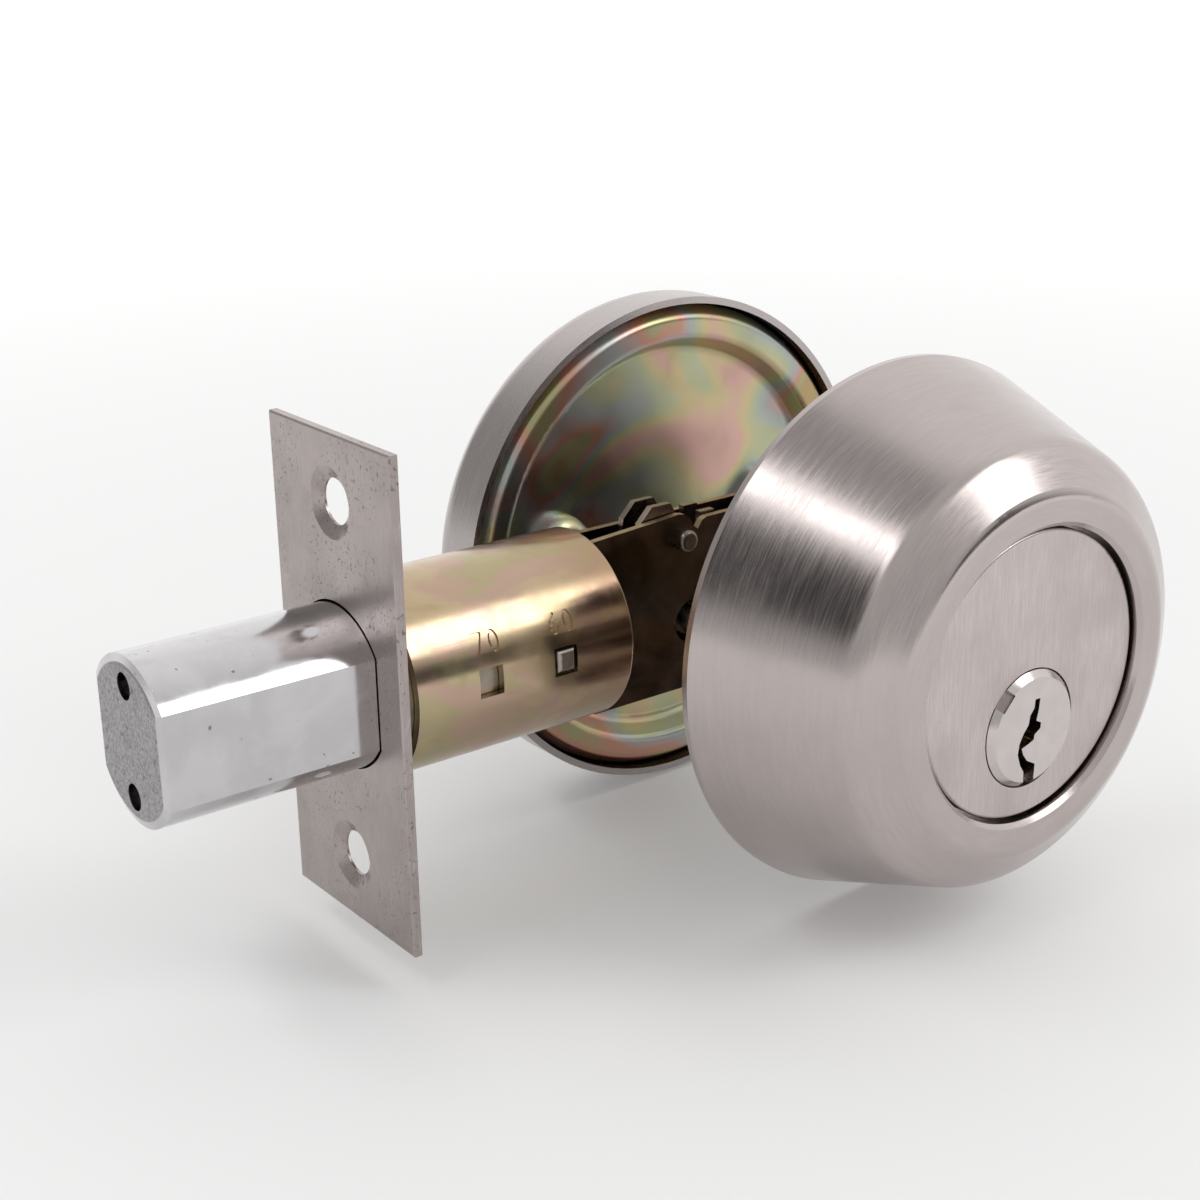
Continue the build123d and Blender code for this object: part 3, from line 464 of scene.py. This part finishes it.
def add_world():
    """Pale studio walls, with brighter and darker panels that shape the reflections in the metal."""
    world = bpy.data.worlds.new("studio")
    world.use_nodes = True
    bpy.context.scene.world = world
    tree = world.node_tree
    tree.nodes.clear()

    def node(kind, inputs=None, **settings):
        return add_node(tree, kind, inputs, **settings).outputs

    def step(value, low, high, start, end):
        return node("ShaderNodeMapRange", {"Value": value, "From Min": low, "From Max": high, "To Min": start,
                                           "To Max": end}, interpolation_type="SMOOTHSTEP")[0]

    ray = node("ShaderNodeTexCoord")["Generated"]
    height = node("ShaderNodeSeparateXYZ", {0: ray})[2]
    tone = step(height, 0.0, 0.8, WALL_TONE, CEILING_TONE)
    for direction, outer, inner, panel_tone in PANELS:
        facing = node("ShaderNodeVectorMath", {0: ray, 1: Vector(direction).normalized()},
                      operation="DOT_PRODUCT")["Value"]
        share = step(facing, outer, inner, 0.0, 1.0)
        tone = node("ShaderNodeMix", {0: share, 2: tone, 3: panel_tone}, data_type="FLOAT")[0]
    camera = node("ShaderNodeLightPath")["Is Camera Ray"]
    strength = node("ShaderNodeMix", {0: camera, 2: tone, 3: BACKDROP_TONE}, data_type="FLOAT")[0]
    background = node("ShaderNodeBackground", {"Color": (1.0, 0.995, 0.99, 1.0), "Strength": strength})[0]
    node("ShaderNodeOutputWorld", {"Surface": background})


def add_camera():
    azimuth, elevation, roll = CAMERA_AZIMUTH, CAMERA_ELEVATION, CAMERA_ROLL
    forward = Vector((math.cos(elevation) * math.sin(azimuth), math.cos(elevation) * math.cos(azimuth),
                      -math.sin(elevation)))
    right = forward.cross(Vector((0, 0, 1))).normalized()
    up = right.cross(forward)
    turned_right = right * math.cos(roll) + up * math.sin(roll)
    turned_up = up * math.cos(roll) - right * math.sin(roll)
    camera = bpy.data.objects.new("camera", bpy.data.cameras.new("camera"))
    camera.data.lens = CAMERA_LENS
    camera.data.clip_start = 0.01
    camera.data.clip_end = 50
    pose = Matrix((turned_right, turned_up, -forward)).transposed().to_4x4()
    pose.translation = CAMERA_TARGET - forward * CAMERA_DISTANCE
    camera.matrix_world = pose
    bpy.context.scene.collection.objects.link(camera)
    bpy.context.scene.camera = camera


add_world()
add_floor()
add_softbox("left_lamp", (-0.50, 0.15, 0.85), 0.8, (0.7, 0.12), 0.95)
add_softbox("front_lamp", (0.45, -0.60, 0.66), 0.9, (0.34, 0.44), 1.55)
add_camera()
bpy.context.scene.view_settings.view_transform = "Standard"
